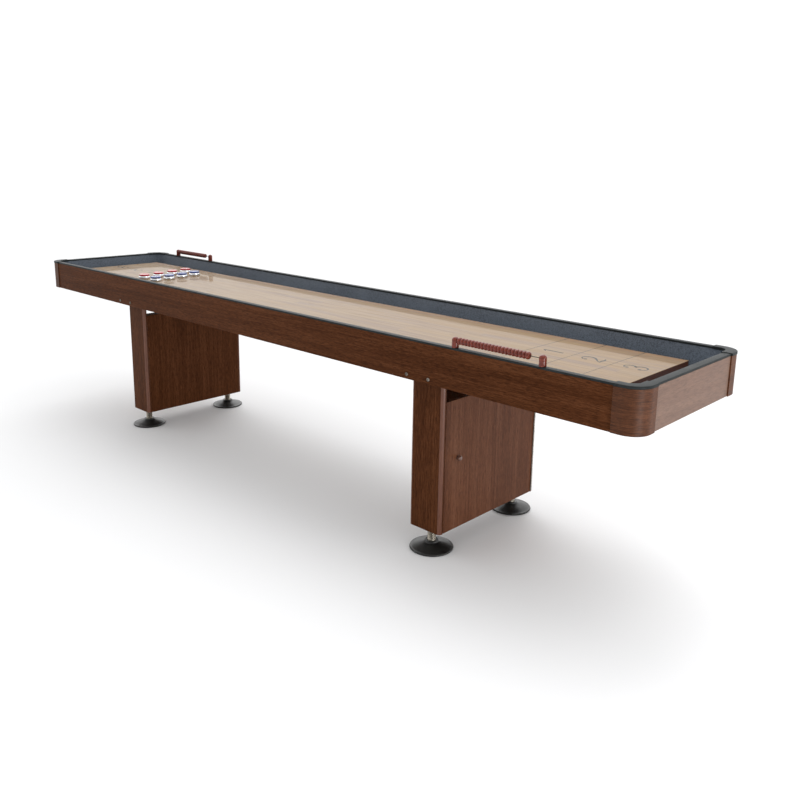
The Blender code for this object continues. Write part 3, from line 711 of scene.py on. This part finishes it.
def build_scores():
    """Score lines, edge ticks and zone figures at both ends, read from the nearer end."""
    inner_y = FIELD_HIGH.y - EDGE_STRIP
    for side in (-1, 1):
        place = NAMES_X[side]
        lines, ticks, figures = [], [], []
        for zone in range(ZONE_COUNT):
            x = side * (FIELD_HIGH.x - ZONE_PITCH * (ZONE_COUNT - zone) + ZONE_SHIFT)
            lines.append(flat_strip([(x, -inner_y), (x, inner_y)], (LINE_WIDTH,) * 2))
            for edge in (-1, 1):
                ends = [(x, edge * inner_y), (x, edge * (FIELD_HIGH.y - TICK_MARGIN))]
                ticks.append(flat_strip(ends, (TICK_WIDTH,) * 2))
            strokes, balls = numeral_strokes(zone + 1)
            foot = side * (FIELD_HIGH.x - ZONE_PITCH * (ZONE_COUNT - 0.5 - zone) + NUMERAL_HEIGHT / 2)

            def onto(point):
                return (foot - side * point[1] * NUMERAL_HEIGHT,
                        side * (NUMERAL_SHIFT + point[0] * NUMERAL_HEIGHT))

            for points, thin, thick in strokes:
                widths = swelling(len(points), thin * STROKE_SCALE, thick * STROKE_SCALE)
                figures.append(flat_strip([onto(point) for point in points], widths))
            figures += [flat_disc(onto(middle), radius * BALL_SCALE) for middle, radius in balls]
        for kind, prints, look in (("lines", lines, "line_ink"), ("ticks", ticks, "ink"),
                                   ("figures", figures, "ink")):
            piece("score_%s_%s" % (kind, place), merge(*prints), look, "table", None)


# ---- pedestals
PANEL_RADIUS = 0.014
PANEL_EASING = 0.0012
DOOR_EASING = 0.0014

HINGE_BARREL = 0.0028
HINGE_BORE = 0.0009
HINGE_PIN = 0.0006
HINGE_KNUCKLE = 0.0125
HINGE_CLEAR = HINGE_BARREL + 0.0003
KNUCKLE_EASE = 0.0002

BRACKET_STEEL = 0.003
BRACKET_BEND = 0.0042
BOLT_FROM_MIDDLE = 0.05
BOLT_HEIGHT = 0.672


def build_side_panel(leg, sign_y):
    """A side panel; the rounded edges at its two outer upright corners are painted paler, a painted
    highlight.
    """
    outline = [(-FACE_X, PANEL_INNER_Y)]
    outline += arc((PANEL_RADIUS - FACE_X, PANEL_OUTER_Y - PANEL_RADIUS), PANEL_RADIUS, 180, 90, 10)
    outline += arc((FACE_X - PANEL_RADIUS, PANEL_OUTER_Y - PANEL_RADIUS), PANEL_RADIUS, 90, 0, 10)
    outline += [(FACE_X, PANEL_INNER_Y)]
    node = "pedestal_%s_panel_%s" % (NAMES_X[leg], NAMES_Y[sign_y])
    low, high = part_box(node)
    builder = prism([(leg * PEDESTAL_X + x, sign_y * y) for x, y in outline], low.z, high.z)
    ease(builder, PANEL_EASING)
    # The rounded corner faces take the paler walnut: a painted highlight.
    for face in builder.faces:
        upright = abs(face.normal.z) < 0.5
        if upright and min(abs(face.normal.x), abs(face.normal.y)) > 0.12:
            face.material_index = 1
    piece(node + "_wood", builder, ("walnut_panel", "walnut_edge_highlight"), "table", node,
          flat_faces=True)


def build_knob(node, body, out):
    """A turned mushroom knob that stands out of the door."""
    low, high, middle = space(node)
    start = low.x if out > 0 else high.x
    cap = arc((0.0073, 0.0112), 0.0028, -60, 60, 8)
    dome = [(0.0088 * cos(radians(a)), 0.0135 + 0.0037 * sin(radians(a))) for a in (8, 25, 42, 60, 76)]
    profile = [(0.0, 0.0), (0.0060, 0.0), (0.0062, 0.0009), (0.0054, 0.0019), (0.0048, 0.0034),
               (0.0049, 0.0056), (0.0060, 0.0072), *cap, *dome, (0.0, 0.0172)]
    piece(node + "_turned", put(turned(profile), (start, middle.y, middle.z), (out, 0.0, 0.0)),
          "knob", body, node, crisp=60)


def build_hinge(node, leg, body):
    """A piano hinge: one leaf and every other knuckle on the panel, the rest on the door."""
    low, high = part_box(node)
    axis_x = high.x - HINGE_BARREL if leg > 0 else low.x + HINGE_BARREL
    axis_y = leg * (PANEL_INNER_Y - GAP)
    inner_x = low.x if leg > 0 else high.x
    count = int((high.z - low.z) / HINGE_KNUCKLE)
    starts = [low.z + index * HINGE_KNUCKLE for index in range(count)]
    pin = turned([(0.0, low.z), (HINGE_PIN, low.z), (HINGE_PIN, high.z), (0.0, high.z)], 12)
    fixed, moving = [put(pin, (axis_x, axis_y, 0.0))], []
    for parts, first, near, far in ((fixed, 0, 0.0001, 0.0008), (moving, 1, 0.0010, 0.0016)):
        y_edges = sorted((axis_y - leg * near, axis_y - leg * far))
        x_edges = sorted((inner_x, axis_x - leg * HINGE_CLEAR))
        tab_edges = sorted((axis_x - leg * (HINGE_CLEAR + 0.0006), axis_x - leg * HINGE_BARREL * 0.7))
        parts.append(box((x_edges[0], y_edges[0], low.z),
                         (x_edges[1], y_edges[1], low.z + count * HINGE_KNUCKLE), 0.0002))
        for start in starts[first::2]:
            bottom, top = start + KNUCKLE_EASE, start + HINGE_KNUCKLE - KNUCKLE_EASE
            ring = [(HINGE_BORE, bottom), (HINGE_BARREL - KNUCKLE_EASE, bottom),
                    (HINGE_BARREL, bottom + 0.0003), (HINGE_BARREL, top - 0.0003),
                    (HINGE_BARREL - KNUCKLE_EASE, top), (HINGE_BORE, top)]
            parts.append(put(turned(ring, 20, close=True), (axis_x, axis_y, 0.0)))
            parts.append(box((tab_edges[0], y_edges[0], bottom + 0.0004),
                             (tab_edges[1], y_edges[1], top - 0.0004), 0.0001))
    piece(node + "_leaf", merge(*fixed), "nickel", "table", node, crisp=40)
    piece(node + "_door_leaf", merge(*moving), "nickel", body, node, crisp=40)


def build_bracket(node, sign_y):
    """A folded steel channel between apron and leg, and its two bolts with their nuts."""
    low, high, middle = space(node)
    outer = HALF_WIDTH - BOARD - GAP
    inner = PANEL_OUTER_Y + GAP
    top, bottom = GUTTER_BOTTOM - GAP, low.z
    inner_bend = (inner + BRACKET_BEND, top - BRACKET_BEND)
    outer_bend = (outer - BRACKET_BEND, top - BRACKET_BEND)
    inside_radius = BRACKET_BEND - BRACKET_STEEL
    section = [(inner, bottom),
               *arc(inner_bend, BRACKET_BEND, 180, 90, 5),
               *arc(outer_bend, BRACKET_BEND, 90, 0, 5),
               (outer, bottom), (outer - BRACKET_STEEL, bottom),
               *arc(outer_bend, inside_radius, 0, 90, 5),
               *arc(inner_bend, inside_radius, 90, 180, 5),
               (inner + BRACKET_STEEL, bottom)]
    channel = loft([[(x, sign_y * y, z) for y, z in section] for x in (low.x, high.x)])
    ease(channel, 0.0004, 2, angle=60)
    piece(node + "_channel", channel, "nickel", "table", node, crisp=40)
    for number, side in enumerate((-1, 1), 1):
        place = (middle.x + side * BOLT_FROM_MIDDLE, sign_y * (HALF_WIDTH + GAP), BOLT_HEIGHT)
        head = [(0.0, 0.0009), (0.0022, 0.0009), (0.0024, 0.0034), (0.0034, 0.0033), (0.0050, 0.0026),
                (0.0061, 0.0014), (0.0066, 0.0), (0.0040, 0.0), (0.0040, -0.0235), (0.0, -0.0240)]
        bolt = put(turned(head, 32), place, (0.0, sign_y, 0.0))
        nut_face = place[1] - sign_y * (BOARD + 2 * GAP + BRACKET_STEEL)
        nut = turned([(0.0042, 0.0), (0.0072, 0.0), (0.0075, 0.0004), (0.0075, 0.0028), (0.0072, 0.0032),
                      (0.0042, 0.0032)], 6, close=True)
        put(nut, (place[0], nut_face, place[2]), (0.0, -sign_y, 0.0))
        piece("%s_bolt_%d" % (node, number), merge(bolt, nut), "bolt", "table", node,
              crisp=40)


def dress(node, look):
    """Give a plain hidden board, which keeps the frame's own solid, its material."""
    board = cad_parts[node]
    board.data.materials.clear()
    board.data.materials.append(MATERIALS[look])
    return board


def build_pedestal(leg):
    """One leg: two side panels with their brackets, an inner panel, a door and two plain boards."""
    prefix = "pedestal_" + NAMES_X[leg]
    door_body = "door_" + NAMES_X[leg]
    for sign_y in (-1, 1):
        build_side_panel(leg, sign_y)
        build_bracket("%s_bracket_%s" % (prefix, NAMES_Y[sign_y]), sign_y)
    node = prefix + "_inner_panel"
    piece(node + "_wood", box(*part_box(node)), "walnut_panel", "table", node,
          flat_faces=True)
    node = prefix + "_door"
    # The door takes a paler, lit copy of the walnut: painted light.
    piece(node + "_wood", box(*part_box(node), easing=DOOR_EASING), "walnut_door", door_body, node,
          flat_faces=True)
    build_knob(prefix + "_knob", door_body, leg)
    build_hinge(prefix + "_hinge", leg, door_body)
    for kind in ("_bottom", "_top"):
        dress(prefix + kind, "walnut_panel").data.shade_flat()


# ---- feet
THREAD_PITCH = 0.0035
THREAD_DEPTH = 0.0013
THREAD_STEPS = 6
STEM_SEGMENTS = 36
STEM_RADIUS = 0.016
STEM_START = 0.0291


def threaded_stem(radius, bottom, top):
    """A stem with one continuous screw thread, run out smooth at both ends."""
    steps = int((top - bottom) / THREAD_PITCH * THREAD_STEPS)
    sections = []
    for level in range(steps + 1):
        share = level / steps
        height = bottom + (top - bottom) * share
        fade = min(1.0, 12 * share, 12 * (1 - share))
        section = []
        for step in range(STEM_SEGMENTS):
            turn = 2 * pi * step / STEM_SEGMENTS
            phase = (height / THREAD_PITCH - step / STEM_SEGMENTS) % 1.0
            reach = radius - THREAD_DEPTH * fade * max(0.0, 1 - abs(2 * phase - 1) * 1.35)
            section.append((reach * cos(turn), reach * sin(turn), height))
        sections.append(section)
    return loft(sections)


def build_feet():
    """Four feet: a domed pad with a rolled rim on a threaded stem, and the leg's flanged insert."""
    rim = arc((FOOT_RADIUS - 0.0042, 0.0042), 0.0042, -80, 75, 10)
    profile = [(0.0, 0.0009), (0.030, 0.0009), (0.034, 0.0), (FOOT_RADIUS - 0.0050, 0.0), *rim,
               (FOOT_RADIUS - 0.0060, 0.0079), (FOOT_RADIUS - 0.0085, 0.0084), (0.0620, 0.0132),
               (0.0500, 0.0170), (0.0400, 0.0203), (0.0320, 0.0232), (0.0275, 0.0256), (0.0258, 0.0278),
               (0.0255, 0.0305), (0.0242, 0.0318), (0.0185, 0.0320), (0.0172, 0.0312), (0.0172, 0.0290),
               (0.0, 0.0290)]
    flange = [(0.0167, -0.0032), (0.0262, -0.0032), (0.0268, -0.0026), (0.0268, -GAP), (0.0167, -GAP)]
    for leg, sign_y in CORNERS:
        body = "leveller_%s_%s" % (NAMES_X[leg], NAMES_Y[sign_y])
        place = (leg * PEDESTAL_X, sign_y * FOOT_Y, 0.0)
        piece(body + "_pad", put(turned(profile, 72), place), "foot", body, body,
              crisp=40)
        stem = put(threaded_stem(STEM_RADIUS, STEM_START, STEM_TOP), place)
        piece(body + "_stem", stem, "chrome", body, body, crisp=60)
        under = (*place[:2], LEG_BOTTOM)
        piece(body + "_insert", put(turned(flange, 48, close=True), under), "nickel", "table", None,
              crisp=40)


# ---- scorers
BEAD_COUNT = 21
BEAD_ROUND = 0.0052
BEAD_BORE = 0.0021
BEAD_GAP = 0.00015
POST_DOME = 0.0105
POST_WAIST = 0.985


def build_scorer(sign_y):
    """Two domed posts, the wire between them and the beads on it."""
    side = NAMES_Y[sign_y]
    prefix = "scorer_" + side
    for sign_x in (-1, 1):
        node = "%s_post_%s" % (prefix, NAMES_X[sign_x])
        low, high, middle = space(node)
        radius, tall = (high.x - low.x) / 2, high.z - low.z
        foot = arc((radius - 0.0008, 0.0008), 0.0008, -90, 0, 3)
        dome = [(radius * cos(radians(a)), tall - POST_DOME + POST_DOME * sin(radians(a)))
                for a in range(0, 90, 9)]
        waist = [(radius * POST_WAIST, 0.010), (radius * POST_WAIST, 0.016)]
        post = turned([(0.0, 0.0), *foot, *waist, *dome, (0.0, tall)])
        piece(node + "_turned", put(post, (middle.x, middle.y, low.z)), "mahogany", "table", node,
              crisp=50)
    low, high, middle = space(prefix + "_wire")
    radius = (high.z - low.z) / 2
    around = arc((middle.y, middle.z), radius, 0, 360, 16)[:-1]
    stations = (low.x + (high.x - low.x) * step / 12 for step in range(13))
    piece(prefix + "_wire_rod", loft([[(x, y, z) for y, z in around] for x in stations]), "rod", "table",
          prefix + "_wire")
    low, high, middle = space(prefix + "_beads")
    flat = (high.z - low.z) / 2 - BEAD_ROUND
    pitch = (high.x - low.x) / BEAD_COUNT
    half = pitch / 2 - BEAD_GAP
    outside = [(flat + BEAD_ROUND * cos(radians(a)), half * sin(radians(a))) for a in range(-84, 85, 12)]
    ring = [(BEAD_BORE, -half), *outside, (BEAD_BORE, half)]
    for index in range(BEAD_COUNT):
        name = "bead_%s_%02d" % (side, index + 1)
        place = (low.x + pitch * (index + 0.5), middle.y, middle.z)
        piece(name, put(turned(ring, 40, close=True), place, (1.0, 0.0, 0.0)), "mahogany", "beads_" + side,
              prefix + "_beads", crisp=60)


# ---- pucks
PUCK_COUNT = 4


def build_pucks():
    """Eight weights: a polished body with a flared foot and a dished plastic cap."""
    for colour in ("red", "blue"):
        for index in range(PUCK_COUNT):
            node = "puck_%s_%d" % (colour, index + 1)
            low, high, middle = space(node)
            radius, tall = (high.x - low.x) / 2, high.z - low.z
            body = [(0.0, 0.0005), (radius * 0.55, 0.0005), (radius * 0.58, 0.0), (radius - 0.0022, 0.0),
                    *arc((radius - 0.0016, 0.0016), 0.0016, -90, 0, 4), (radius, 0.0098),
                    (radius - 0.0004, 0.0108), (radius - 0.0022, 0.0128), (radius - 0.0030, 0.0140),
                    (radius - 0.0026, 0.0150), (radius - 0.0032, 0.0156), (0.0, 0.0156)]
            cap = [(0.0, 0.0157), (radius - 0.0030, 0.0157), (radius - 0.0024, 0.0164),
                   (radius - 0.0024, tall - 0.0024),
                   *arc((radius - 0.0044, tall - 0.0020), 0.0020, 0, 90, 5),
                   (radius - 0.0075, tall - 0.0002), (radius - 0.0090, tall - 0.0012),
                   (0.0080, tall - 0.0016), (0.0060, tall - 0.0012), (0.0, tall - 0.0010)]
            place = (middle.x, middle.y, low.z)
            piece(node + "_body", put(turned(body, 64), place), "puck_chrome", node, node,
                  crisp=40)
            piece(node + "_cap", put(turned(cap, 64), place), colour + "_cap", node, node,
                  crisp=40)


# ---- studio
CAMERA_PLACE = (2.8076, -2.3718, 1.4060)
CAMERA_YAW, CAMERA_PITCH, CAMERA_ROLL = 0.7519, 0.2195, -0.0172
CAMERA_LENS, CAMERA_SHIFT = 36.64, -0.075

WORLD_BRIGHT, WORLD_DIM, WORLD_ZENITH = 1.34, 0.44, 0.98
BRIGHT_SIDE = (-0.68, 0.73, 0.0)
FLOOR_HALF = 60.0

SUN_TRAVEL = (0.50, -0.42, -0.76)
SUN_STRENGTH, SUN_ANGLE = 1.2, 55

# Each soft light's place, target, size and power.
SOFT_LIGHTS = {
    "overhead": ((1.5, 0.4, 3.4), (1.2, 0.0, 0.5), (3.0, 1.8), 22.0),
    "front_right": ((3.5, -0.8, 0.28), (1.4, -0.1, 0.6), (0.5, 0.5), 13.0),
    "right_end": ((3.6, 0.6, 1.1), (1.6, 0.0, 0.6), (1.2, 1.0), 11.0),
}


def build_camera():
    """The main camera, from its place, its three turns, its lens and its shift."""
    data = bpy.data.cameras.new("camera")
    data.sensor_width = 36.0
    data.lens = CAMERA_LENS
    data.shift_y = CAMERA_SHIFT
    data.clip_start, data.clip_end = 0.05, 300.0
    camera = link("camera", data)
    forward = Vector((-sin(CAMERA_YAW) * cos(CAMERA_PITCH), cos(CAMERA_YAW) * cos(CAMERA_PITCH),
                      -sin(CAMERA_PITCH)))
    right = Vector((cos(CAMERA_YAW), sin(CAMERA_YAW), 0.0))
    down = forward.cross(right)
    across = cos(CAMERA_ROLL) * right + sin(CAMERA_ROLL) * down
    upward = sin(CAMERA_ROLL) * right - cos(CAMERA_ROLL) * down
    turn = Matrix((across, upward, -forward)).transposed().to_4x4()
    camera.matrix_world = Matrix.Translation(CAMERA_PLACE) @ turn
    bpy.context.scene.camera = camera


def aim(light, place, direction):
    """Put a light at a place and point it in a direction."""
    turn = Vector(direction).to_track_quat("-Z", "Y").to_matrix().to_4x4()
    light.matrix_world = Matrix.Translation(place) @ turn


def build_lights():
    """The soft rectangular lights and one broad sun."""
    for name, (place, target, size, power) in SOFT_LIGHTS.items():
        data = bpy.data.lights.new(name, "AREA")
        data.shape = "RECTANGLE"
        data.size, data.size_y = size
        data.energy = power
        light = link(name, data)
        light.visible_camera = False
        aim(light, place, Vector(target) - Vector(place))
    sun = bpy.data.lights.new("sun", "SUN")
    sun.energy = SUN_STRENGTH
    sun.angle = radians(SUN_ANGLE)
    aim(link("sun", sun), (0.0,) * 3, SUN_TRAVEL)


def build_world():
    """A white surround, dimmer towards the near side and the right end."""
    world = bpy.data.worlds.new("surround")
    bpy.context.scene.world = world
    world.use_nodes = True
    tree = world.node_tree
    background = tree.nodes["Background"]
    background.inputs["Color"].default_value = (1.0, 1.0, 1.0, 1.0)
    direction = tree.nodes.new("ShaderNodeTexCoord")
    axes = tree.nodes.new("ShaderNodeSeparateXYZ")
    tree.links.new(direction.outputs["Generated"], axes.inputs[0])
    facing = tree.nodes.new("ShaderNodeVectorMath")
    facing.operation = "DOT_PRODUCT"
    tree.links.new(direction.outputs["Generated"], facing.inputs[0])
    facing.inputs[1].default_value = BRIGHT_SIDE

    def fade(source, low, high, start, end):
        made = tree.nodes.new("ShaderNodeMapRange")
        made.interpolation_type = "SMOOTHSTEP"
        for name, value in (("Value", source), ("From Min", low), ("From Max", high), ("To Min", start),
                            ("To Max", end)):
            if isinstance(value, bpy.types.NodeSocket):
                tree.links.new(value, made.inputs[name])
            else:
                made.inputs[name].default_value = value
        return made.outputs["Result"]

    sideways = fade(facing.outputs["Value"], -0.65, 0.25, WORLD_DIM, WORLD_BRIGHT)
    strength = fade(axes.outputs["Z"], 0.30, 0.95, sideways, WORLD_ZENITH)
    tree.links.new(strength, background.inputs["Strength"])


def build_floor():
    """A wide pale floor at the feet's level."""
    builder = bmesh.new()
    bmesh.ops.create_grid(builder, x_segments=8, y_segments=8, size=FLOOR_HALF)
    mesh = bpy.data.meshes.new("floor")
    builder.to_mesh(mesh)
    builder.free()
    floor = link("floor", mesh)
    mesh.materials.append(studio_floor())


build_aprons()
build_corner_blocks()
build_rails()
build_corner_caps()
build_gutter()
build_playfield()
build_scores()
for leg_side in (-1, 1):
    build_pedestal(leg_side)
build_feet()
for rail_side in (-1, 1):
    build_scorer(rail_side)
build_pucks()
dress("playfield_base", "fibreboard")
build_camera()
build_floor()
build_world()
build_lights()
bpy.context.scene.view_settings.view_transform = "Standard"
